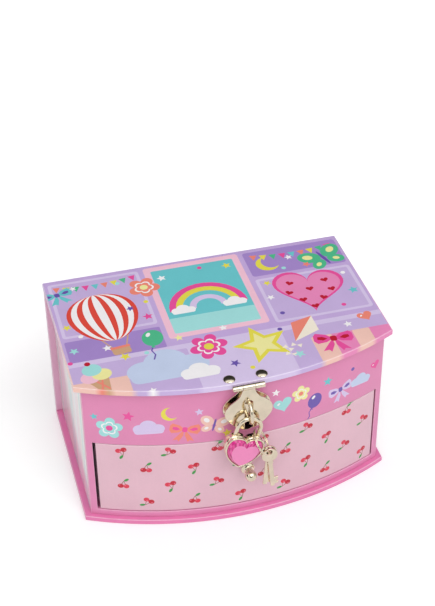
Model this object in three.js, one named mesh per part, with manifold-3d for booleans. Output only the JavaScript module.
// A bow-fronted musical jewellery box of covered board: a lid and a base with
// a back between them, a drawer, a hasp with a heart padlock and two keys, and
// a dancer who stands up on a spring when the lid is raised.
// Millimetres, +Z up, the front faces -Y. While it is built, y is zero at the
// outer face of the back; the finished group is then centred over its base.
import * as THREE from 'three';
import { mergeVertices } from 'three/addons/utils/BufferGeometryUtils.js';
import Module from 'manifold-3d';

const wasm = await Module();
wasm.setup();

// Driving sizes of the case
const coverWidth = 180;
const coverSideDepth = 98;
const coverBow = 21.2;
const boxHeight = 99;
const lidThickness = 3.1;
const baseThickness = 3.4;
const backThickness = 3;
const wallThickness = 2.6;
const sideInset = 3.7;
const frontInset = 2.8;
const glueGap = 0.1;
const lidGap = 0.3;
const railHeight = 4;
const stileWidth = 3.7;
const floorThickness = 2;
const floorLip = 0.4;
const bayDepth = 32;
const overrun = 1;

// Compartments under the lid
const dividerThickness = 2;
const dividerHeight = 18;
const channelWidth = 54;
const dividerFrontGap = 7.8;
const stageWidth = 44;
const stageDepth = 32;
const stageHeight = 7;
const rollRadius = 6.5;
const rollCount = 4;
const rollPitch = 10.5;
const rollMargin = 2.5;
const cushionBaseHeight = 4;
const cushionRound = 3;
const rollEndShares = [[-1, 0.62], [-0.97, 0.86], [-0.9, 1], [0.9, 1], [0.97, 0.86], [1, 0.62]];

// Lid lining and mirror
const liningThickness = 1;
const liningMargin = 1.6;
const mirrorWidth = 92;
const mirrorDepth = 62;
const mirrorThickness = 1.4;
const mirrorCorner = 6;
const mirrorAhead = 4.3;
const mirrorSight = 1;
const frameWidth = 5;
const frameThickness = 2;
const frameLip = 0.3;

// Drawer
const drawerGap = 0.7;
const drawerBoard = 2.2;
const drawerSideDrop = 7.9;
const drawerSideInset = 1.4;
const knobFootRadius = 3.1;
const knobFootLength = 1;
const knobFootEdgeShare = 0.6;
const knobNeckRadius = 1.7;
const knobNeckLength = 0.85;
const knobBellRadius = 3.9;
const knobBellLength = 3;
const knobBellShares = [0.15, 0.4, 0.65, 0.88];
const knobGrooveRadius = 2;
const knobTipRadius = 3.3;
const knobTipStand = 4.5;
const knobTipStartShare = 0.2;
const knobTipShares = [0, 0.15, 0.32, 0.5, 0.68, 0.85];
const knobBelowTop = 21;
const knobScrewStand = 0.5;
const knobScrewRadius = 1.1;
const knobScrewHeadRadius = 2.6;
const knobScrewHeadLength = 1.2;
const knobScrewDepth = 3;

// Hasp on the lid
const hingeBarrelRadius = 1.6;
const hingePinRadius = 0.65;
const hingeBoreRadius = 0.75;
const hingeForward = 2.1;
const hingeRiseShare = 0.45;
const hingeKnuckleHalf = 3.2;
const hingeHalfLength = 8.7;
const hingeGap = 0.35;
const fixedLeafDepth = 12;
const fixedLeafThickness = 0.8;
const fixedLeafClearance = 0.1;
const rivetSpacing = 18;
const rivetSetBack = 4.4;
const rivetHeadRadius = 3.3;
const rivetHeadHeight = 1.3;
const rivetDomeShares = [[1, 0], [0.86, 0.6], [0.5, 0.93], [0, 1]];
const rivetShankRadius = 1.2;
const rivetTailRadius = 2;
const rivetTailHeight = 0.2;
const leafHalfWidth = 13.4;
const leafLength = 29.6;
const leafThickness = 0.8;
const leafNeckGap = 0.8;
const leafSlotHalf = 2.3;
const leafSlotTop = 9.2;
// Half outlines from the bottom middle upwards: each row is a cubic curve's two
// handles and its end, as shares of the half width and of the length.
const leafLobeShares = [[[0.25, 1], [0.45, 0.95], [0.64, 0.86]], [[0.86, 0.76], [1, 0.68], [1, 0.57]],
  [[1, 0.46], [0.84, 0.37], [0.6, 0.3]]];
const leafShoulderShares = [[0.48, 0.265], [0.36, 0.2]];
const leafNeckShare = 0.3;

// Staple on the front board
const stapleThickness = 0.8;
const stapleSeatGap = 0.1;
const stapleTopShare = 0.14;
const stapleTailRadius = 5.6;
const stapleTailRise = 1.4;
const stapleWireRadius = 1.05;
const stapleRadius = 6.4;
const stapleReach = 4.2;
const stapleBelowHinge = 16.9;

// Padlock and its keys
const shackleWireRadius = 1.2;
const shackleHalf = 6.7;
const shackleClearance = 0.55;
const shackleForward = 3.4;
const shackleTiltDegrees = 17;
const shackleSide = 0.8;
const shackleLegLength = 4.4;
const shackleLegInside = 5.2;
const shackleBoreGap = 0.12;
const shackleBoreDepth = 11;
const heartWidth = 22.4;
const heartHeight = 20.6;
const heartThickness = 5;
const heartCurveShares = [
  [[0.4, 0.9], [1, 0.67], [1, 0.32]],
  [[1, 0.08], [0.78, 0], [0.52, 0]],
  [[0.3, 0], [0.1, 0.03], [0, 0.13]],
];
const bezelWall = 1.15;
const bezelHeight = 1.3;
const gemGap = 0.1;
const gemGirdle = 0.8;
const gemHeight = 2.6;
const gemTableShare = 0.66;
const gemCentreShare = 0.45;
const keyRingRadius = 7.8;
const keyRingWire = 0.5;
const keyRingForward = 1.6;
const keyRingAside = 3.5;
const keyRingLift = 1.1;
const keyRingLeanDegrees = 33;
const keyRingTurnDegrees = 15;
const keyThickness = 1.1;
const keySpacing = 2.1;
const keyBowRadius = 4.6;
const keyHoleRadius = 1.7;
const keyHoleClearance = 0.3;
const keyBowLift = 2.3;
const keyStemWidth = 2.6;
const keyLength = 28;
const keyBitWidth = 2.2;
const keyBitHeight = 5;
const keyFanDegrees = 5;

// Dancer, spindle and spring
const spindleSetBack = 27;
const spindleRadius = 1.2;
const spindleCapRadius = 3.2;
const spindleCapHeight = 1.4;
const bushRadius = 2.6;
const bushFlangeRadius = 4.2;
const bushFlangeHeight = 0.8;
const bushGap = 0.1;
const springWireRadius = 0.4;
const springRadius = 2.5;
const springCurls = 7;
const springLength = 14;
const springSteps = 8;
const springSides = 5;
const springSeatGap = 0.15;
const cupRadius = 3;
const cupHeight = 3.2;
const cupBoreRadius = 1.5;
const cupFloor = 1;
const pegRadius = 1.3;
const pegLength = 3.4;
const pegGap = 0.2;
const dancerHeight = 45;
const skirtRadius = 12.6;
const skirtThickness = 2.4;
const skirtHeight = 21;
const skirtPleats = 18;
const waistRadius = 2.1;
const hipRadius = 2.7;
const chestRadius = 2.8;
const neckRadius = 1;
const headRadius = 3;
const bunRadius = 1.5;
const thighRadius = 1.7;
const ankleRadius = 0.8;
const armRadius = 0.75;
const wristShare = 0.7;
const skirtHeadroom = 0.74;
const skirtWaveShare = 0.3;
// Skirt rings: whether at the rim, the height and the wave, the last two as
// shares of the thickness and of the wave.
const skirtRingShares = [[0, 0, 0], [1, -0.5, 1], [1, 0.1, 1], [0, 0.7, 0]];
// Points of the figure as shares of its height: across, back and up.
const standingLegShares = [[0, 0, 0], [0, 0, 0.1], [0.004, 0, 0.25], [0.012, 0, 0.46]];
const raisedLegShares = [[-0.02, 0, 0.46], [-0.1, -0.07, 0.36], [-0.03, -0.035, 0.27], [0.005, -0.03, 0.2]];
const armShares = [[0.045, 0, 0.675], [0.115, -0.02, 0.76], [0.12, -0.035, 0.87], [0.06, -0.04, 0.955],
  [0.012, -0.04, 0.985]];
const torsoRadii = [0, hipRadius, hipRadius, waistRadius, chestRadius, chestRadius, neckRadius, neckRadius,
  0];
const torsoHeightShares = [0.43, 0.45, 0.5, 0.57, 0.65, 0.68, 0.72, 0.76, 0.77];
const headHeightShare = 0.81;
const bunHeightShare = 0.865;
const bunBackShare = 0.75;

// Musical movement
const plateWidth = 52;
const plateTopMargin = 9.5;
const plateFootMargin = 5.5;
const plateThickness = 2.4;
const movementHeight = 29;
const barrelRadius = 10.5;
const barrelLength = 11;
const barrelAside = 14;
const barrelTeeth = 40;
const toothHeight = 0.8;
const barrelDrumInset = 1.2;
const arborCollarRadius = 2.55;
const arborRadius = 1.5;
const arborGap = 0.1;
const arborOutside = 9;
const keyHubRadius = 2.8;
const keyHubLength = 8;
const keyWingSpan = 26;
const keyWingHeight = 9;
const keyWingThickness = 1.6;
const wingStartShares = [0, 0.13];
const wingCurveShares = [
  [[0.5, 0.09], [0.9, 0.18], [1, 0.6]],
  [[1.08, 1.2], [0.7, 1.5], [0.55, 0.8]],
  [[0.5, 0.44], [0.3, 0.44], [0, 0.4]],
];
const wingSeat = 3.2;
const cylinderRadius = 6.2;
const cylinderLength = 18;
const cylinderArborRadius = 0.9;
const cylinderTeeth = 30;
const cylinderWheelWidth = 1.6;
const cylinderWheelRadius = 8;
const pinRadius = 0.3;
const pinHeight = 0.45;
const pinRows = 9;
const pinTurns = 3;
const pinSides = 4;
const pinStepShare = 0.37;
const drumSides = 20;
const bracketThickness = 1.6;
const bracketWidth = 7;
const bearingGap = 0.1;
const combWidth = 17;
const combTeeth = 18;
const combBaseDepth = 5;
const combThickness = 1;
const combToothGapShare = 0.35;
const combReachGap = 0.25;
const combRiserDepth = 8;
const screwHeadRadius = 2.1;
const screwHeadHeight = 1.1;
const combScrewShares = { left: 0.2, right: 0.8 };
const governorWormRadius = 1.6;
const governorLength = 13;
const governorFrameHalf = 2.8;
const governorVaneHeight = 3.4;
const governorVaneThickness = 0.6;
const governorFrameThickness = 1.4;
const governorFrameDepth = 8;
const meshGap = 0.3;
const spindleGearRadius = 5.2;
const spindleGearTeeth = 20;
const spindleGearWidth = 1.8;
const stopPinRadius = 1;
const stopPinAside = 36;
const stopPinSetBack = 9.5;
const stopPinGap = 0.15;
const stopFootRadius = 2.6;
const stopFootHeight = 1.5;
const stopTravel = 3;
const stopPinClear = 0.4;

// Smoothness
const bowSteps = 24;
const roundSides = 16;
const smallSides = 10;
const wireSides = 8;
const curveSteps = 8;
const eyeSteps = 22;
const shackleSteps = 24;
const ringSteps = 28;
const ringSides = 6;
const gemSteps = 4;
const headSteps = 8;
const bunSteps = 6;
const barrelSides = 24;
const weldTolerance = 1e-4;
const nearlyUpright = 0.01;

// Places worked out from the sizes
const coverHalf = coverWidth / 2;
const bowRadius = (coverHalf ** 2 + coverBow ** 2) / (2 * coverBow);
const bowCentreY = bowRadius - coverSideDepth - coverBow;
const bodyHalf = coverHalf - sideInset;
const bodyBowRadius = bowRadius - frontInset;
const innerHalf = bodyHalf - wallThickness - glueGap;
const innerBowRadius = bodyBowRadius - wallThickness;
const backInnerY = -backThickness - glueGap;
const bodyBackY = backInnerY - wallThickness;
const wallTop = boxHeight - lidThickness - lidGap;
const wallBottom = baseThickness + glueGap;
const lidBottom = boxHeight - lidThickness;
const liningTop = lidBottom - glueGap;
const liningBottom = liningTop - liningThickness;
const frameBottom = liningBottom - glueGap - frameThickness;
// The folded dancer just clears the mirror's frame, and everything below her,
// down to the top of the drawer, is stacked from there.
const springBend = (springLength * 2) / Math.PI;
const dancerAxisZ = frameBottom - skirtHeadroom - skirtRadius;
const springFoot = dancerAxisZ - springBend;
const spindleTop = springFoot - springWireRadius - springSeatGap;
const stageTop = spindleTop - spindleCapHeight - bushGap - bushFlangeHeight;
const floorTop = stageTop - stageHeight - glueGap;
const floorBottom = floorTop - floorThickness;
const openingTop = floorBottom - floorLip;
const openingBottom = wallBottom + railHeight;
const openingHalf = bodyHalf - stileWidth;
const bayFrontY = bodyBackY - bayDepth;
const frontY = bowCentreY - bodyBowRadius;
const coverFrontY = -coverSideDepth - coverBow;
const degree = Math.PI / 180;

// Finishes
const finish = (color, roughness, metalness) => (
  new THREE.MeshStandardMaterial({ color, roughness, metalness }));
const lidPaper = finish(0xcaaee0, 0.45, 0);
const coverPaper = finish(0xe06aa8, 0.45, 0);
const bandPaper = finish(0xe28cb4, 0.45, 0);
const palePaper = finish(0xe4bccb, 0.45, 0);
const sidePaper = finish(0xe6dfe4, 0.3, 0);
const liningPaper = finish(0xd98fb0, 0.7, 0);
const velvet = finish(0xe7a8c6, 0.95, 0);
const gold = finish(0xdcc9a4, 0.22, 1);
const steel = finish(0xb9bcc0, 0.3, 1);
const brass = finish(0xc9a24e, 0.3, 1);
const gemPink = finish(0xe8409a, 0.08, 0);
const mirrorGlass = finish(0xe8edf0, 0.03, 1);
const skin = finish(0xf0c8ac, 0.5, 0);
const tulle = finish(0xf4b6d2, 0.8, 0);

// Every solid is kept as a three.js geometry; these four turn it into a
// boolean solid and back.
function toSolid(geometry) {
  const bare = geometry.clone();
  bare.deleteAttribute('normal');
  bare.deleteAttribute('uv');
  const welded = mergeVertices(bare, weldTolerance);
  const vertProperties = Float32Array.from(welded.attributes.position.array);
  const triVerts = Uint32Array.from(welded.index.array);
  return new wasm.Manifold(new wasm.Mesh({ numProp: 3, vertProperties, triVerts }));
}

function fromSolid(solid) {
  const { vertProperties, triVerts } = solid.getMesh();
  const geometry = new THREE.BufferGeometry();
  geometry.setAttribute('position', new THREE.BufferAttribute(vertProperties, 3));
  geometry.setIndex(new THREE.BufferAttribute(triVerts, 1));
  return geometry;
}

function join(...parts) {
  return fromSolid(parts.map(toSolid).reduce((whole, part) => whole.add(part)));
}

function cut(body, ...tools) {
  return fromSolid(tools.map(toSolid).reduce((whole, tool) => whole.subtract(tool), toSolid(body)));
}

// Basic solids
function box(xMin, xMax, yMin, yMax, zMin, zMax) {
  const block = new THREE.BoxGeometry(xMax - xMin, yMax - yMin, zMax - zMin);
  return block.translate((xMin + xMax) / 2, (yMin + yMax) / 2, (zMin + zMax) / 2);
}

// Rods run from the given point along +X, -Y or +Z.
function rodX(radius, length, x, y, z, sides = smallSides) {
  const rod = new THREE.CylinderGeometry(radius, radius, length, sides);
  return rod.rotateZ(Math.PI / 2).translate(x + length / 2, y, z);
}

function rodY(radius, length, x, y, z, sides = smallSides) {
  return new THREE.CylinderGeometry(radius, radius, length, sides).translate(x, y - length / 2, z);
}

function rodZ(radius, length, x, y, z, sides = smallSides) {
  const rod = new THREE.CylinderGeometry(radius, radius, length, sides);
  return rod.rotateX(Math.PI / 2).translate(x, y, z + length / 2);
}

// A flat shape given in X and Y becomes a board from z upwards.
function board(shape, z, thickness) {
  const options = { depth: thickness, bevelEnabled: false, curveSegments: curveSteps };
  const flat = new THREE.ExtrudeGeometry(shape, options);
  return flat.translate(0, 0, z);
}

// A flat shape given in X and Z becomes a plate from y towards the front.
function plate(shape, y, thickness) {
  const options = { depth: thickness, bevelEnabled: false, curveSegments: curveSteps };
  const flat = new THREE.ExtrudeGeometry(shape, options);
  return flat.rotateX(Math.PI / 2).translate(0, y, 0);
}

// A profile of [radius, height] points is turned about Z.
function turned(profile, sides = roundSides) {
  const points = profile.map(([radius, height]) => new THREE.Vector2(radius, height));
  return new THREE.LatheGeometry(points, sides).rotateX(Math.PI / 2);
}

function wireAlong(curve, radius, steps, sides = wireSides) {
  const section = new THREE.Shape();
  section.absarc(0, 0, radius, 0, 2 * Math.PI);
  const options = { extrudePath: curve, steps, curveSegments: sides, bevelEnabled: false };
  return new THREE.ExtrudeGeometry(section, options);
}

// A closed solid through rings of points, each ring a list of Vector3.
function lofted(rings) {
  const count = rings[0].length;
  const positions = rings.flat().flatMap((point) => [point.x, point.y, point.z]);
  const faces = [];
  for (let ring = 0; ring + 1 < rings.length; ring += 1) {
    for (let side = 0; side < count; side += 1) {
      const next = (side + 1) % count;
      const [a, b] = [ring * count + side, ring * count + next];
      const [c, d] = [a + count, b + count];
      faces.push(a, b, d, a, d, c);
    }
  }
  const last = (rings.length - 1) * count;
  for (let side = 1; side + 1 < count; side += 1) {
    faces.push(0, side + 1, side, last, last + side, last + side + 1);
  }
  const geometry = new THREE.BufferGeometry();
  geometry.setAttribute('position', new THREE.Float32BufferAttribute(positions, 3));
  geometry.setIndex(faces);
  return geometry;
}

// A gear outline with straight-sided teeth, its first tooth on +X.
function gearShape(teeth, tipRadius) {
  const rootRadius = tipRadius - toothHeight;
  const cornerShares = [[-0.3, rootRadius], [-0.16, tipRadius], [0.16, tipRadius], [0.3, rootRadius]];
  const points = [];
  for (let tooth = 0; tooth < teeth; tooth += 1) {
    for (const [share, radius] of cornerShares) {
      const angle = (2 * Math.PI * (tooth + share)) / teeth;
      points.push(new THREE.Vector2(radius * Math.cos(angle), radius * Math.sin(angle)));
    }
  }
  return new THREE.Shape(points);
}

// Bowed outlines: straight sides and back, and the front an arc about the
// common centre behind the box.
function bowY(radius, x) {
  return bowCentreY - Math.sqrt(radius ** 2 - x ** 2);
}

function bowPoints(radius, half) {
  const end = Math.asin(half / radius);
  return Array.from({ length: bowSteps + 1 }, (_, step) => {
    const angle = end - (2 * end * step) / bowSteps;
    return new THREE.Vector2(radius * Math.sin(angle), bowCentreY - radius * Math.cos(angle));
  });
}

function bowedShape(half, backY, radius) {
  const backCorners = [new THREE.Vector2(-half, backY), new THREE.Vector2(half, backY)];
  return new THREE.Shape([...backCorners, ...bowPoints(radius, half)].reverse());
}

function bowedBand(half, outerRadius, innerRadius) {
  return new THREE.Shape([...bowPoints(outerRadius, half).reverse(), ...bowPoints(innerRadius, half)]);
}

function roundedRectangle(width, height, corner) {
  const [x, y] = [width / 2, height / 2];
  const shape = new THREE.Shape();
  shape.moveTo(-x + corner, -y);
  shape.lineTo(x - corner, -y);
  shape.absarc(x - corner, -y + corner, corner, -Math.PI / 2, 0);
  shape.absarc(x - corner, y - corner, corner, 0, Math.PI / 2);
  shape.absarc(-x + corner, y - corner, corner, Math.PI / 2, Math.PI);
  shape.absarc(-x + corner, -y + corner, corner, Math.PI, Math.PI * 1.5);
  return shape;
}

// A closed outline: up its right side from the bottom middle through cubic
// curves, and down its left side through their mirror images.
function mirrored(start, curves) {
  const outline = new THREE.Shape();
  const flip = ([x, y]) => [-x, y];
  outline.moveTo(...start);
  for (const [first, second, end] of curves) {
    outline.bezierCurveTo(...first, ...second, ...end);
  }
  const ends = [start, ...curves.map(([, , end]) => end)];
  const top = ends.at(-1);
  if (top[0] !== 0) outline.lineTo(...flip(top));
  for (let index = curves.length - 1; index >= 0; index -= 1) {
    const [first, second] = curves[index];
    outline.bezierCurveTo(...flip(second), ...flip(first), ...flip(ends[index]));
  }
  return outline;
}

const object = new THREE.Group();

function add(name, geometry, material, parent = object) {
  const mesh = new THREE.Mesh(geometry, material);
  mesh.name = name;
  parent.add(mesh);
  return mesh;
}

// Case: base, back, walls, bowed front with its drawer opening
function addCase() {
  add('base_board', board(bowedShape(coverHalf, 0, bowRadius), 0, baseThickness), coverPaper);
  const backTop = lidBottom - lidGap;
  const back = box(-coverHalf, coverHalf, -backThickness, 0, wallBottom, backTop);
  const holeLength = backThickness + 2 * overrun;
  const keyHole = rodY(arborRadius + arborGap, holeLength, barrelX, overrun, movementHeight, roundSides);
  add('back_board', cut(back, keyHole), coverPaper);
  const sideFrontY = bowY(innerBowRadius, bodyHalf) + glueGap;
  const outer = bodyHalf - wallThickness;
  add('side_wall_left', box(-bodyHalf, -outer, sideFrontY, backInnerY, wallBottom, wallTop), sidePaper);
  add('side_wall_right', box(outer, bodyHalf, sideFrontY, backInnerY, wallBottom, wallTop), sidePaper);
  const band = board(bowedBand(bodyHalf, bodyBowRadius, innerBowRadius), wallBottom, wallTop - wallBottom);
  const opening = box(-openingHalf, openingHalf, frontY - overrun, 0, openingBottom, openingTop);
  add('front_panel', cut(band, opening), bandPaper);
}

const movementY = bodyBackY - glueGap;
const barrelX = -barrelAside;

function addInnerBoards() {
  const backWall = box(-innerHalf, innerHalf, bodyBackY, backInnerY - glueGap, wallBottom, wallTop);
  const keyHole = rodY(arborRadius + arborGap, backThickness + wallThickness + overrun, barrelX,
    backInnerY + overrun, movementHeight, roundSides);
  add('body_back_wall', cut(backWall, keyHole), liningPaper);
  const partitionTop = floorBottom - glueGap;
  const partitionY = bayFrontY - floorThickness;
  const partition = box(-innerHalf, innerHalf, partitionY, bayFrontY, wallBottom, partitionTop);
  add('bay_partition', partition, liningPaper);
  const floorY = bodyBackY - glueGap;
  const floor = board(bowedShape(innerHalf, floorY, innerBowRadius - glueGap), floorBottom, floorThickness);
  const spindleHole = rodZ(bushRadius + glueGap, floorThickness + 2 * overrun, 0, -spindleSetBack,
    floorBottom - overrun, roundSides);
  const stopHole = rodZ(stopPinRadius + stopPinGap, floorThickness + 2 * overrun, stopPinAside,
    -stopPinSetBack, floorBottom - overrun);
  add('divider_floor', cut(floor, spindleHole, stopHole), velvet);
}

function addCompartments() {
  const bottom = floorTop + glueGap;
  const back = bodyBackY - glueGap;
  const front = bowY(innerBowRadius, channelWidth / 2 + dividerThickness) + dividerFrontGap;
  for (const [side, name] of [[-1, 'left'], [1, 'right']]) {
    const inner = (side * channelWidth) / 2;
    const outer = inner + side * dividerThickness;
    const [left, right] = [Math.min(inner, outer), Math.max(inner, outer)];
    const divider = box(left, right, front, back, bottom, bottom + dividerHeight);
    add(`compartment_divider_${name}`, divider, liningPaper);
  }
  const stage = box(-stageWidth / 2, stageWidth / 2, back - stageDepth, back, bottom, bottom + stageHeight);
  const holeLength = stageHeight + 2 * overrun;
  const hole = rodZ(bushRadius + glueGap, holeLength, 0, -spindleSetBack, bottom - overrun, roundSides);
  add('dancer_stage', cut(stage, hole), velvet);
}

// Ring holder: rolls side by side with rounded ends on a thin bed
function addRingCushion() {
  const left = channelWidth / 2 + dividerThickness + rollMargin;
  const right = innerHalf - rollMargin;
  const middle = (left + right) / 2;
  const half = (right - left) / 2;
  const bottom = floorTop + glueGap;
  const depth = rollPitch * (rollCount - 1) + 2 * rollRadius;
  const frontRow = bowY(innerBowRadius - glueGap, right) + rollMargin + rollRadius;
  const rolls = Array.from({ length: rollCount }, (_, row) => {
    const y = frontRow + row * rollPitch;
    const sides = { length: smallSides };
    const rings = rollEndShares.map(([along, swell]) => Array.from(sides, (_unused, side) => {
      const angle = (2 * Math.PI * side) / smallSides;
      const radius = rollRadius * swell;
      const [across, up] = [radius * Math.cos(angle), radius * Math.sin(angle)];
      return new THREE.Vector3(middle + half * along, y + across, bottom + rollRadius + up);
    }));
    return lofted(rings);
  });
  const bed = roundedRectangle(2 * half, depth, cushionRound);
  const bedY = frontRow + ((rollCount - 1) * rollPitch) / 2;
  const base = board(bed, bottom, cushionBaseHeight).translate(middle, bedY, 0);
  add('ring_cushion', join(base, ...rolls), velvet);
}

// Lid: board, lining, mirror in its frame
const mirrorRoomFront = bowY(innerBowRadius, mirrorWidth / 2 + frameWidth);
const mirrorY = (bodyBackY + mirrorRoomFront) / 2 - mirrorAhead;

function addLid() {
  const pocketHalf = hingeHalfLength + rivetHeadRadius + fixedLeafClearance;
  const pocketTop = lidBottom + fixedLeafThickness + 2 * fixedLeafClearance;
  const pocketBack = coverFrontY + fixedLeafDepth + fixedLeafClearance;
  const pocketFront = coverFrontY - overrun;
  const pocket = box(-pocketHalf, pocketHalf, pocketFront, pocketBack, lidBottom - overrun, pocketTop);
  const holes = [-1, 1].map((side) => rodZ(rivetShankRadius + fixedLeafClearance, lidThickness + 2 * overrun,
    (side * rivetSpacing) / 2, coverFrontY + rivetSetBack, lidBottom - overrun));
  const lid = board(bowedShape(coverHalf, 0, bowRadius), lidBottom, lidThickness);
  add('lid_board', cut(lid, pocket, ...holes), lidPaper);
  const liningHalf = innerHalf - liningMargin;
  const liningShape = bowedShape(liningHalf, bodyBackY - liningMargin, innerBowRadius - liningMargin);
  const lining = board(liningShape, liningBottom, liningThickness);
  add('lid_lining', lining, liningPaper);
  const frame = board(roundedRectangle(mirrorWidth + 2 * frameWidth, mirrorDepth + 2 * frameWidth,
    mirrorCorner + frameWidth), frameBottom, frameThickness);
  const seat = board(roundedRectangle(mirrorWidth, mirrorDepth, mirrorCorner),
    frameBottom + frameLip, frameThickness);
  const sight = 2 * (frameLip + mirrorSight);
  const window = board(roundedRectangle(mirrorWidth - sight, mirrorDepth - sight, mirrorCorner),
    frameBottom - overrun, frameThickness + overrun);
  add('mirror_frame', cut(frame, seat, window).translate(0, mirrorY, 0), gold);
  const glass = board(roundedRectangle(mirrorWidth - glueGap * 2, mirrorDepth - glueGap * 2, mirrorCorner),
    frameBottom + frameLip + glueGap, mirrorThickness);
  add('lid_mirror', glass.translate(0, mirrorY, 0), mirrorGlass);
}

// Hasp: fixed leaf under the lid, riveted, pin, and the hanging leaf
const hingeY = coverFrontY - hingeForward;
const hingeZ = lidBottom + lidThickness * hingeRiseShare;

function leafOutline(topShare) {
  const at = ([xShare, dropShare]) => [leafHalfWidth * xShare, hingeZ - leafLength * dropShare];
  const shoulder = [...leafShoulderShares, [leafNeckShare, topShare]];
  const curves = [...leafLobeShares, shoulder].map((curve) => curve.map(at));
  return mirrored([0, hingeZ - leafLength], curves);
}

function addHasp() {
  const leafZ = lidBottom + fixedLeafClearance;
  const leafTop = leafZ + fixedLeafThickness;
  const half = hingeHalfLength + rivetHeadRadius;
  const leafBack = coverFrontY + fixedLeafDepth;
  const flat = box(-half, half, bowY(bowRadius, half) + fixedLeafClearance, leafBack, leafZ, leafTop);
  const boreLength = 2 * (hingeHalfLength + overrun);
  const bore = rodX(hingeBoreRadius, boreLength, -hingeHalfLength - overrun, hingeY, hingeZ);
  const knuckleLength = hingeHalfLength - hingeKnuckleHalf - hingeGap;
  const knuckles = [-hingeHalfLength, hingeKnuckleHalf + hingeGap].flatMap((x) => [
    rodX(hingeBarrelRadius, knuckleLength, x, hingeY, hingeZ, roundSides),
    box(x, x + knuckleLength, hingeY, leafBack - overrun, leafZ, leafTop),
  ]);
  const shankHoles = [-1, 1].map((side) => rodZ(rivetShankRadius + fixedLeafClearance, lidThickness,
    (side * rivetSpacing) / 2, coverFrontY + rivetSetBack, leafZ - overrun));
  add('hasp_fixed_leaf', cut(join(flat, ...knuckles), bore, ...shankHoles), gold);
  for (const [side, name] of [[-1, 'left'], [1, 'right']]) {
    const head = boxHeight + glueGap;
    const seatZ = lidBottom + fixedLeafClearance / 2;
    const tail = seatZ - rivetTailHeight;
    const dome = rivetDomeShares.map(([across, up]) => (
      [rivetHeadRadius * across, head + rivetHeadHeight * up]));
    const profile = [[0, tail], [rivetTailRadius, tail], [rivetTailRadius, seatZ], [rivetShankRadius, seatZ],
      [rivetShankRadius, head], ...dome];
    const rivet = turned(profile).translate((side * rivetSpacing) / 2, coverFrontY + rivetSetBack, 0);
    add(`lid_rivet_${name}`, rivet, gold);
  }
  add('hasp_pin', rodX(hingePinRadius, 2 * hingeHalfLength, -hingeHalfLength, hingeY, hingeZ), gold);
  const leaf = plate(leafOutline(0), hingeY + leafThickness / 2, leafThickness);
  const knuckle = rodX(hingeBarrelRadius, 2 * hingeKnuckleHalf, -hingeKnuckleHalf, hingeY, hingeZ,
    roundSides);
  const slotBottom = hingeZ - leafLength - overrun;
  const slotRoundZ = hingeZ - leafSlotTop - leafSlotHalf;
  const slot = join(
    box(-leafSlotHalf, leafSlotHalf, hingeY - overrun, hingeY + overrun, slotBottom, slotRoundZ),
    rodY(leafSlotHalf, 2 * overrun, 0, hingeY + overrun, slotRoundZ, roundSides));
  const neckSides = [-1, 1].map((side) => box(
    Math.min(side * hingeKnuckleHalf, side * leafHalfWidth),
    Math.max(side * hingeKnuckleHalf, side * leafHalfWidth),
    hingeY - overrun, hingeY + overrun,
    hingeZ - hingeBarrelRadius - leafNeckGap, hingeZ + hingeBarrelRadius));
  add('hasp_leaf', cut(join(leaf, knuckle), bore, slot, ...neckSides), gold);
}

// Staple: plate on the front board and its wire eye
const stapleZ = hingeZ - stapleBelowHinge;
const stapleBackY = frontY - stapleSeatGap;
const stapleFaceY = stapleBackY - stapleThickness;

class EyeCurve extends THREE.Curve {
  constructor(radius, leg, place) {
    super();
    this.radius = radius;
    this.leg = leg;
    this.place = place;
  }

  getPoint(t, target = new THREE.Vector3()) {
    const bend = Math.PI * this.radius;
    const along = t * (2 * this.leg + bend) - this.leg;
    const [across, out] = along < 0
      ? [this.radius, along]
      : along > bend
        ? [-this.radius, bend - along]
        : [this.radius * Math.cos(along / this.radius), this.radius * Math.sin(along / this.radius)];
    return target.copy(this.place(across, out));
  }
}

function addStaple() {
  const tailZ = hingeZ - leafLength + stapleTailRise;
  const tail = rodY(stapleTailRadius, stapleThickness, 0, stapleBackY, tailZ, roundSides);
  add('staple_plate', join(plate(leafOutline(stapleTopShare), stapleBackY, stapleThickness), tail), gold);
  const bendY = stapleFaceY - stapleReach;
  const leg = stapleReach - stapleSeatGap;
  const place = (across, out) => new THREE.Vector3(0, bendY - out, stapleZ + across);
  const curve = new EyeCurve(stapleRadius, leg, place);
  add('staple_eye', wireAlong(curve, stapleWireRadius, eyeSteps), gold);
}

// Padlock: its frame hangs from the eye, tilted as it lies in use
const shackleY = hingeY - shackleForward;
const shackleCentreZ = (() => {
  const inner = stapleRadius - stapleWireRadius;
  const forward = stapleFaceY - stapleReach - shackleY;
  const rest = stapleZ - Math.sqrt(inner ** 2 - forward ** 2) + shackleWireRadius + shackleClearance;
  return rest - shackleHalf;
})();
const heartTop = -shackleLegLength;
const heartFaceY = -heartThickness / 2;

const padlockGroup = new THREE.Group();
padlockGroup.position.set(-shackleSide, shackleY, shackleCentreZ);
padlockGroup.rotation.y = shackleTiltDegrees * degree;

function heartPoints(inset) {
  const [half, height] = [heartWidth / 2 - inset, heartHeight - 2 * inset];
  const at = ([xShare, dropShare]) => [half * xShare, heartTop - inset - height * dropShare];
  return mirrored(at([0, 1]), heartCurveShares.map((curve) => curve.map(at)));
}

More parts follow.
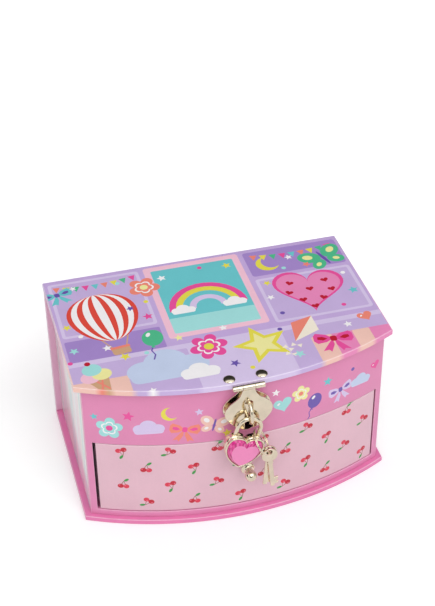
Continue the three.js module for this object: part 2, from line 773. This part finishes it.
function addPadlock() {
  const arch = new EyeCurve(shackleHalf, shackleLegLength + shackleLegInside,
    (across, out) => new THREE.Vector3(across, 0, out));
  add('padlock_shackle', wireAlong(arch, shackleWireRadius, shackleSteps), gold, padlockGroup);
  const body = plate(heartPoints(0), -heartFaceY, heartThickness);
  const boreRadius = shackleWireRadius + shackleBoreGap;
  const boreLength = shackleBoreDepth + overrun;
  const boreBottom = heartTop - shackleBoreDepth;
  const bores = [-1, 1].map((side) => (
    rodZ(boreRadius, boreLength, side * shackleHalf, 0, boreBottom, roundSides)));
  add('padlock_body', cut(body, ...bores), gold, padlockGroup);
  const rim = plate(heartPoints(0), heartFaceY - glueGap, bezelHeight);
  const rimHole = plate(heartPoints(bezelWall), heartFaceY - glueGap + overrun, bezelHeight + 2 * overrun);
  add('padlock_bezel', cut(rim, rimHole), gold, padlockGroup);
  add('padlock_gem', gemSolid(), gemPink, padlockGroup);
}

// The gem's facets run from its girdle to a smaller flat table.
function gemSolid() {
  const outline = heartPoints(bezelWall + gemGap).getPoints(gemSteps).slice(0, -1);
  const centreZ = heartTop - heartHeight * gemCentreShare;
  const backY = heartFaceY - glueGap;
  const ring = (share, y) => outline.map((point) => new THREE.Vector3(
    point.x * share, y, centreZ + (point.y - centreZ) * share));
  const levels = [[1, backY], [1, backY - gemGirdle], [gemTableShare, backY - gemHeight]];
  const rings = levels.map(([share, y]) => ring(share, y));
  return heartLoft(rings);
}

// Like lofted, but its ends are triangulated because a heart isn't convex.
function heartLoft(rings) {
  const count = rings[0].length;
  const body = lofted(rings);
  const sides = Array.from(body.index.array).slice(0, (rings.length - 1) * count * 6);
  const flat = rings[0].map((point) => new THREE.Vector2(point.x, point.z));
  const caps = THREE.ShapeUtils.triangulateShape(flat, []);
  const last = (rings.length - 1) * count;
  const clockwise = THREE.ShapeUtils.isClockWise(flat);
  for (const [a, b, c] of caps) {
    sides.push(a, clockwise ? b : c, clockwise ? c : b);
    sides.push(last + a, last + (clockwise ? c : b), last + (clockwise ? b : c));
  }
  body.setIndex(sides);
  return body;
}

// Key ring and two flat keys
const upAxis = new THREE.Vector3(0, 0, 1);
const backAxis = new THREE.Vector3(0, 1, 0);
const ringDown = upAxis.clone().negate().applyAxisAngle(backAxis, -keyRingLeanDegrees * degree);
const ringDepth = backAxis.clone().applyAxisAngle(ringDown, keyRingTurnDegrees * degree);
const ringCentre = new THREE.Vector3(keyRingAside, -keyRingForward, heartTop + keyRingWire + keyRingLift)
  .applyAxisAngle(backAxis, shackleTiltDegrees * degree)
  .add(padlockGroup.position)
  .addScaledVector(ringDown, keyRingRadius);

function addKeyRing() {
  const ring = new THREE.TorusGeometry(keyRingRadius, keyRingWire, ringSides, ringSteps);
  const normal = new THREE.Vector3().crossVectors(ringDown, ringDepth);
  ring.applyMatrix4(new THREE.Matrix4().makeBasis(ringDown, ringDepth, normal));
  add('key_ring', ring.translate(ringCentre.x, ringCentre.y, ringCentre.z), gold);
}

function keyShape() {
  const shape = new THREE.Shape();
  const stem = keyStemWidth / 2;
  const tip = keyBowLift - keyLength;
  const bowCentre = keyBowLift - keyBowRadius;
  const joint = Math.asin(stem / keyBowRadius);
  const bitTop = tip + keyBitHeight + stem;
  shape.moveTo(-stem, tip);
  shape.lineTo(stem, tip);
  shape.lineTo(stem, tip + stem);
  shape.lineTo(stem + keyBitWidth, tip + stem);
  shape.lineTo(stem + keyBitWidth, bitTop);
  shape.lineTo(stem, bitTop);
  shape.absarc(0, bowCentre, keyBowRadius, -Math.PI / 2 + joint, Math.PI * 1.5 - joint);
  const hole = new THREE.Path();
  hole.absarc(0, 0, keyHoleRadius, 0, 2 * Math.PI, true);
  shape.holes.push(hole);
  return shape;
}

function addKeys() {
  const drop = keyHoleRadius - keyRingWire - keyHoleClearance;
  const hang = ringCentre.clone().addScaledVector(ringDown, keyRingRadius);
  const wire = ringDepth.clone().normalize();
  for (const [side, name] of [[-1, 'front'], [1, 'back']]) {
    const key = plate(keyShape(), keyThickness / 2, keyThickness);
    const mesh = add(`key_${name}`, key, gold);
    mesh.position.copy(hang).addScaledVector(wire, (side * keySpacing) / 2);
    mesh.position.z -= drop;
    mesh.rotation.y = side * keyFanDegrees * degree;
  }
}

// Drawer: bowed front, tray and knob
const drawerFrontBottom = openingBottom + drawerGap / 2;
const drawerFrontTop = openingTop - drawerGap / 2;
const drawerFrontHalf = openingHalf - drawerGap;
const trayHalf = drawerFrontHalf - drawerSideInset;
const trayBackY = bayFrontY - floorThickness - drawerGap;
const knobZ = drawerFrontTop - knobBelowTop;

function addDrawer() {
  const frontInnerRadius = innerBowRadius;
  const panel = board(bowedBand(drawerFrontHalf, bodyBowRadius, frontInnerRadius), drawerFrontBottom,
    drawerFrontTop - drawerFrontBottom);
  const holeLength = wallThickness + 2 * overrun;
  const screwHole = rodY(knobScrewRadius + glueGap, holeLength, 0, frontY + wallThickness + overrun, knobZ);
  add('drawer_front', cut(panel, screwHole), palePaper);
  const sideFront = bowY(frontInnerRadius, drawerFrontHalf) + glueGap;
  const floorZ = drawerFrontBottom;
  const sideBottom = floorZ + drawerBoard + glueGap;
  const sideTop = drawerFrontTop - drawerSideDrop;
  const inner = trayHalf - drawerBoard;
  add('drawer_side_left', box(-trayHalf, -inner, sideFront, trayBackY, sideBottom, sideTop), liningPaper);
  add('drawer_side_right', box(inner, trayHalf, sideFront, trayBackY, sideBottom, sideTop), liningPaper);
  const backFront = trayBackY - drawerBoard;
  const back = box(-inner + glueGap, inner - glueGap, backFront, trayBackY, sideBottom, sideTop);
  add('drawer_back', back, liningPaper);
  const bottom = board(bowedShape(trayHalf, trayBackY, frontInnerRadius - glueGap), floorZ, drawerBoard);
  add('drawer_bottom', bottom, velvet);
}

function addKnob() {
  const bellStart = knobFootLength + knobNeckLength;
  const bellEnd = bellStart + knobBellLength;
  const tipMiddle = bellEnd + knobTipStand;
  const end = tipMiddle + knobTipRadius;
  const swell = knobBellRadius - knobNeckRadius;
  const bell = knobBellShares.map((share) => [
    knobNeckRadius + swell * Math.sin(Math.PI * share), bellStart + knobBellLength * share]);
  const tipAngle = (share) => Math.PI * (knobTipStartShare + (1 - knobTipStartShare) * share);
  const tip = knobTipShares.map((share) => [
    knobTipRadius * Math.sin(tipAngle(share)), tipMiddle - knobTipRadius * Math.cos(tipAngle(share))]);
  const profile = [[0, 0], [knobFootRadius, 0], [knobFootRadius, knobFootLength * knobFootEdgeShare],
    [knobNeckRadius, knobFootLength], ...bell, [knobGrooveRadius, bellEnd], ...tip, [0, end]];
  const knob = turned(profile);
  const socket = rodZ(knobScrewRadius + glueGap, knobScrewDepth + glueGap + overrun, 0, 0, -overrun);
  const seated = cut(knob, socket).rotateX(Math.PI / 2).translate(0, frontY - glueGap, knobZ);
  add('drawer_knob', seated, gold);
  const headLength = knobScrewHeadLength;
  const inside = frontY + wallThickness + glueGap;
  const sag = bodyBowRadius - Math.sqrt(bodyBowRadius ** 2 - knobScrewHeadRadius ** 2);
  const seat = inside + sag;
  const screw = join(
    rodY(knobScrewHeadRadius, headLength, 0, seat + headLength, knobZ, roundSides),
    rodY(knobScrewRadius, seat + knobScrewStand - frontY + knobScrewDepth, 0, seat + knobScrewStand, knobZ));
  add('knob_screw', screw, steel);
}

// Dancer: bush and spindle through the stage, spring, cup, figure
const cupStartY = -spindleSetBack - springBend - springWireRadius - springSeatGap;

function addSpindle() {
  const flangeTop = stageTop + glueGap + bushFlangeHeight;
  const bushBottom = floorBottom;
  const bore = spindleRadius + bushGap;
  const flangeSeat = stageTop + glueGap;
  const bush = turned([[bore, bushBottom], [bushRadius, bushBottom], [bushRadius, flangeSeat],
    [bushFlangeRadius, flangeSeat], [bushFlangeRadius, flangeTop], [bore, flangeTop], [bore, bushBottom]]);
  add('spindle_bush', bush.translate(0, -spindleSetBack, 0), brass);
  const gearTop = spindleGearZ + spindleGearWidth;
  const gear = board(gearShape(spindleGearTeeth, spindleGearRadius), spindleGearZ, spindleGearWidth);
  const shaft = rodZ(spindleRadius, spindleTop - gearTop + overrun, 0, 0, gearTop - overrun, smallSides);
  const cap = rodZ(spindleCapRadius, spindleCapHeight, 0, 0, spindleTop - spindleCapHeight, roundSides);
  add('dancer_spindle', join(gear, shaft, cap).translate(0, -spindleSetBack, 0), brass);
}

// The spring's centre line bends from upright to level, towards the front.
function springPoint(turns) {
  const bend = (turns / springCurls) * (Math.PI / 2);
  const forward = spindleSetBack + springBend * (1 - Math.cos(bend));
  const centre = new THREE.Vector3(0, -forward, springFoot + springBend * Math.sin(bend));
  const across = new THREE.Vector3(1, 0, 0);
  const level = new THREE.Vector3(0, Math.cos(bend), Math.sin(bend));
  const angle = 2 * Math.PI * turns;
  const offset = across.multiplyScalar(Math.cos(angle)).addScaledVector(level, Math.sin(angle));
  return centre.addScaledVector(offset, springRadius);
}

function addSpring() {
  const count = springCurls * springSteps;
  const path = Array.from({ length: count + 1 }, (_, step) => springPoint(step / springSteps));
  const rings = path.map((point, step) => {
    const before = path[Math.max(step - 1, 0)];
    const after = path[Math.min(step + 1, count)];
    const tangent = after.clone().sub(before).normalize();
    const bend = (step / count) * (Math.PI / 2);
    const axis = new THREE.Vector3(0, -Math.sin(bend), Math.cos(bend));
    const side = new THREE.Vector3().crossVectors(tangent, axis).normalize();
    const up = new THREE.Vector3().crossVectors(side, tangent);
    return Array.from({ length: springSides }, (_unused, corner) => {
      const angle = (-2 * Math.PI * corner) / springSides;
      return point.clone().addScaledVector(side, springWireRadius * Math.cos(angle))
        .addScaledVector(up, springWireRadius * Math.sin(angle));
    });
  });
  let least = Infinity;
  path.forEach((point, first) => path.forEach((other, second) => {
    if (second - first > springSteps / 2) least = Math.min(least, point.distanceTo(other));
  }));
  console.log(`spring: least gap between its curls ${(least - 2 * springWireRadius).toFixed(2)} mm`);
  add('dancer_spring', lofted(rings), steel);
}

// The figure stands along +Z in its own frame and faces -Y; at rest the
// frame lies with +Z towards the front of the box.
const figureGroup = new THREE.Group();
figureGroup.position.set(0, cupStartY, dancerAxisZ);
figureGroup.rotation.x = Math.PI / 2;

function limb(points, startRadius, endRadius) {
  const rings = points.map((point, index) => {
    const before = points[Math.max(index - 1, 0)];
    const after = points[Math.min(index + 1, points.length - 1)];
    const tangent = after.clone().sub(before).normalize();
    const side = new THREE.Vector3(0, 1, 0).cross(tangent);
    if (side.lengthSq() < nearlyUpright) side.set(1, 0, 0);
    side.normalize();
    const up = new THREE.Vector3().crossVectors(tangent, side);
    const radius = THREE.MathUtils.lerp(startRadius, endRadius, index / (points.length - 1));
    return Array.from({ length: wireSides }, (_, corner) => {
      const angle = (2 * Math.PI * corner) / wireSides;
      return point.clone().addScaledVector(side, radius * Math.cos(angle))
        .addScaledVector(up, radius * Math.sin(angle));
    });
  });
  return lofted(rings);
}

const figureFoot = cupHeight + pegGap;

function figurePoint([across, back, up]) {
  return new THREE.Vector3(dancerHeight * across, dancerHeight * back, figureFoot + dancerHeight * up);
}

function addDancer() {
  const cup = turned([[0, 0], [cupRadius, 0], [cupRadius, cupHeight], [cupBoreRadius, cupHeight],
    [cupBoreRadius, cupFloor], [0, cupFloor]]);
  add('dancer_cup', cup, brass, figureGroup);
  const peg = rodZ(pegRadius, pegLength, 0, 0, figureFoot + overrun - pegLength + glueGap);
  const standing = limb(standingLegShares.map(figurePoint), ankleRadius, thighRadius);
  const raised = limb(raisedLegShares.map(figurePoint), thighRadius, ankleRadius);
  const torsoProfile = torsoHeightShares.map((share, index) => (
    [torsoRadii[index], figureFoot + share * dancerHeight]));
  const torso = turned(torsoProfile, smallSides);
  const head = new THREE.SphereGeometry(headRadius, smallSides, headSteps).rotateX(Math.PI / 2)
    .translate(0, 0, figureFoot + dancerHeight * headHeightShare);
  const bun = new THREE.SphereGeometry(bunRadius, wireSides, bunSteps).rotateX(Math.PI / 2)
    .translate(0, headRadius * bunBackShare, figureFoot + dancerHeight * bunHeightShare);
  const arms = [-1, 1].map((side) => {
    const points = armShares.map(([across, back, up]) => figurePoint([side * across, back, up]));
    return limb(points, armRadius, armRadius * wristShare);
  });
  add('dancer_figure', join(peg, standing, raised, torso, head, bun, ...arms), skin, figureGroup);
  addSkirt();
}

function addSkirt() {
  const count = skirtPleats * 2;
  const inner = hipRadius + pegGap;
  const around = { length: count };
  const rings = skirtRingShares.map(([rimShare, riseShare, waveShare]) => Array.from(around, (_, step) => {
    const angle = (2 * Math.PI * step) / count;
    const wave = (step % 2 ? 1 : -1) * waveShare * skirtWaveShare * skirtThickness;
    const radius = inner + (skirtRadius - inner) * rimShare;
    const height = skirtHeight + skirtThickness * riseShare + wave;
    return new THREE.Vector3(radius * Math.cos(angle), radius * Math.sin(angle), figureFoot + height);
  }));
  add('dancer_skirt', ringSolid(rings), tulle, figureGroup);
}

// Rings of points joined into a closed ring-shaped solid.
function ringSolid(rings) {
  const closed = lofted([...rings, rings[0]]);
  const count = rings[0].length;
  const sides = Array.from(closed.index.array).slice(0, rings.length * count * 6);
  closed.setIndex(sides.map((vertex) => vertex % (rings.length * count)));
  const kept = closed.attributes.position.array.slice(0, rings.length * count * 3);
  closed.setAttribute('position', new THREE.BufferAttribute(kept, 3));
  return closed;
}

// Musical movement on the inside of the back wall
const plateFaceY = movementY - plateThickness;
const barrelBackY = plateFaceY - meshGap;
const cylinderY = plateFaceY - meshGap - cylinderWheelRadius;
const wheelX = barrelX + barrelRadius + meshGap;
const bracketX = wheelX + cylinderWheelWidth + meshGap;
const cylinderX = bracketX + bracketThickness + meshGap;
const combY = cylinderY;
const spindleGearZ = movementHeight + cylinderWheelRadius + meshGap;

function addBedplate() {
  const low = wallBottom + plateFootMargin;
  const high = floorBottom - plateTopMargin;
  const flat = box(-plateWidth / 2, plateWidth / 2, plateFaceY, movementY, low, high);
  const holeLength = plateThickness + 2 * overrun;
  const hole = rodY(arborRadius + arborGap, holeLength, barrelX, movementY + overrun, movementHeight,
    roundSides);
  add('bedplate', cut(flat, hole), brass);
}

function addBarrel() {
  const gear = board(gearShape(barrelTeeth, barrelRadius), 0, cylinderWheelWidth);
  const drum = rodZ(barrelRadius - barrelDrumInset, barrelLength, 0, 0, 0, barrelSides);
  const bore = rodZ(arborRadius + arborGap, barrelLength + 2 * overrun, 0, 0, -overrun, roundSides);
  const barrel = cut(join(gear, drum), bore).rotateX(Math.PI / 2);
  add('spring_barrel', barrel.translate(barrelX, barrelBackY, movementHeight), brass);
  const inner = barrelBackY - barrelLength - overrun;
  const arborLength = arborOutside - inner;
  const collar = rodY(arborCollarRadius, overrun, barrelX, inner, movementHeight, roundSides);
  const rod = rodY(arborRadius, arborLength, barrelX, arborOutside, movementHeight, roundSides);
  const arbor = join(rod, collar);
  add('winding_arbor', arbor, steel);
}

function addWindingKey() {
  const start = keyHubLength + 2 * overrun;
  const hub = rodY(keyHubRadius, keyHubLength, barrelX, start, movementHeight, roundSides);
  const at = ([xShare, yShare]) => [(keyWingSpan / 2) * xShare, keyWingHeight * yShare];
  const wing = mirrored(at(wingStartShares), wingCurveShares.map((curve) => curve.map(at)));
  const blade = board(wing, -keyWingThickness / 2, keyWingThickness)
    .translate(barrelX, start - wingSeat, movementHeight);
  const boreLength = keyHubLength + overrun;
  const bore = rodY(arborRadius + arborGap / 2, boreLength, barrelX, start - overrun, movementHeight,
    roundSides);
  add('winding_key', cut(join(hub, blade), bore), gold);
}

function addCylinder() {
  const drum = rodX(cylinderRadius, cylinderLength, 0, 0, 0, drumSides);
  const wheel = board(gearShape(cylinderTeeth, cylinderWheelRadius), 0, cylinderWheelWidth)
    .rotateY(Math.PI / 2).translate(wheelX - cylinderX, 0, 0);
  const arborEnd = cylinderLength + meshGap + bracketThickness + overrun;
  const arborStart = wheelX - cylinderX;
  const arbor = rodX(cylinderArborRadius, arborEnd - arborStart, arborStart, 0, 0, smallSides);
  const pins = [];
  for (let row = 0; row < pinRows; row += 1) {
    const x = ((row + 1) * cylinderLength) / (pinRows + 1);
    for (let turn = 0; turn < pinTurns; turn += 1) {
      const angle = 2 * Math.PI * (row * pinStepShare + turn / pinTurns);
      const pin = rodZ(pinRadius, pinHeight + overrun, 0, 0, cylinderRadius - overrun, pinSides);
      pins.push(pin.rotateX(angle).translate(x, 0, 0));
    }
  }
  const cylinder = join(drum, wheel, arbor, ...pins).translate(cylinderX, cylinderY, movementHeight);
  add('pinned_cylinder', cylinder, brass);
  const half = bracketWidth / 2;
  const [low, high] = [movementHeight - half, movementHeight + half];
  const boreRadius = cylinderArborRadius + bearingGap;
  const boreLength = bracketThickness + 2 * overrun;
  const places = [['left', bracketX], ['right', cylinderX + cylinderLength + meshGap]];
  for (const [name, x] of places) {
    const stand = box(x, x + bracketThickness, cylinderY - half, plateFaceY - glueGap, low, high);
    const bearing = rodX(boreRadius, boreLength, x - overrun, cylinderY, movementHeight, roundSides);
    add(`cylinder_bracket_${name}`, cut(stand, bearing), brass);
  }
}

function addComb() {
  const reach = cylinderRadius + pinHeight + combReachGap;
  const low = movementHeight - reach - combBaseDepth - combRiserDepth;
  const left = cylinderX + (cylinderLength - combWidth) / 2;
  const pitch = combWidth / combTeeth;
  const gaps = [];
  for (let tooth = 1; tooth < combTeeth; tooth += 1) {
    const x = left + tooth * pitch;
    const half = (pitch * combToothGapShare) / 2;
    gaps.push(box(x - half, x + half, combY - combThickness, combY + combThickness,
      low + combBaseDepth, movementHeight));
  }
  const right = left + combWidth;
  const blade = box(left, right, combY - combThickness / 2, combY + combThickness / 2,
    low, movementHeight - reach);
  add('comb', cut(blade, ...gaps), steel);
  const riserY = combY + combThickness / 2 + glueGap;
  const riser = box(left, right, riserY, plateFaceY - glueGap, low, low + combBaseDepth - glueGap);
  add('comb_riser', riser, brass);
  for (const [name, share] of Object.entries(combScrewShares)) {
    const x = left + combWidth * share;
    const z = low + combBaseDepth / 2;
    const headY = combY - combThickness / 2 - glueGap;
    const head = rodY(screwHeadRadius, screwHeadHeight, x, headY, z, smallSides);
    add(`comb_screw_${name}`, head, steel);
  }
}

function addGovernor() {
  const x = -barrelAside;
  const low = movementHeight - barrelRadius - meshGap - governorLength;
  const y = plateFaceY - glueGap - governorFrameDepth / 2;
  const top = low + governorLength;
  const [left, right] = [x - governorFrameHalf, x + governorFrameHalf];
  const back = plateFaceY - glueGap;
  const arm = (z) => box(left, right, back - governorFrameDepth, back, z, z + governorFrameThickness);
  const spine = box(left, right, back - governorFrameThickness, back, low, top - meshGap);
  const boreLength = governorLength + 2 * overrun;
  const bore = rodZ(cylinderArborRadius + bearingGap, boreLength, x, y - overrun, low - overrun, roundSides);
  const frame = join(spine, arm(low), arm(top - meshGap - governorFrameThickness));
  add('governor_frame', cut(frame, bore), brass);
  const shaftLength = governorLength - meshGap;
  const shaft = rodZ(cylinderArborRadius, shaftLength, 0, 0, low, smallSides);
  const inside = low + governorFrameThickness + meshGap;
  const wormLength = governorLength - 2 * governorFrameThickness - 3 * meshGap - governorVaneHeight;
  const worm = rodZ(governorWormRadius, wormLength, 0, 0, inside + governorVaneHeight, roundSides);
  const half = governorFrameDepth / 2 - governorFrameThickness;
  const vaneHalf = governorVaneThickness / 2;
  const vane = box(-half, half, -vaneHalf, vaneHalf, inside, inside + governorVaneHeight);
  add('governor_fan', join(shaft, worm, vane).translate(x, y - overrun, 0), steel);
}

// Stop pin: the lid holds it down through the floor; raised, it frees the fan.
function addStopPin() {
  const top = liningBottom - stopPinClear;
  const footTop = floorBottom - stopTravel - overrun;
  const pin = rodZ(stopPinRadius, top - footTop + overrun, 0, 0, footTop - overrun);
  const foot = rodZ(stopFootRadius, stopFootHeight, 0, 0, footTop - stopFootHeight);
  add('stop_pin', join(pin, foot).translate(stopPinAside, -stopPinSetBack, 0), steel);
}

addCase();
addInnerBoards();
addCompartments();
addRingCushion();
addLid();
addHasp();
addStaple();
addPadlock();
addKeyRing();
addKeys();
addDrawer();
addKnob();
addSpindle();
addSpring();
addDancer();
addBedplate();
addBarrel();
addWindingKey();
addCylinder();
addComb();
addGovernor();
addStopPin();
object.add(padlockGroup);
object.add(figureGroup);

// The finished box is centred over its base.
object.updateMatrixWorld(true);
const extent = new THREE.Box3().setFromObject(object, true);
object.position.set(0, -(extent.min.y + extent.max.y) / 2, -extent.min.z);

export default object;
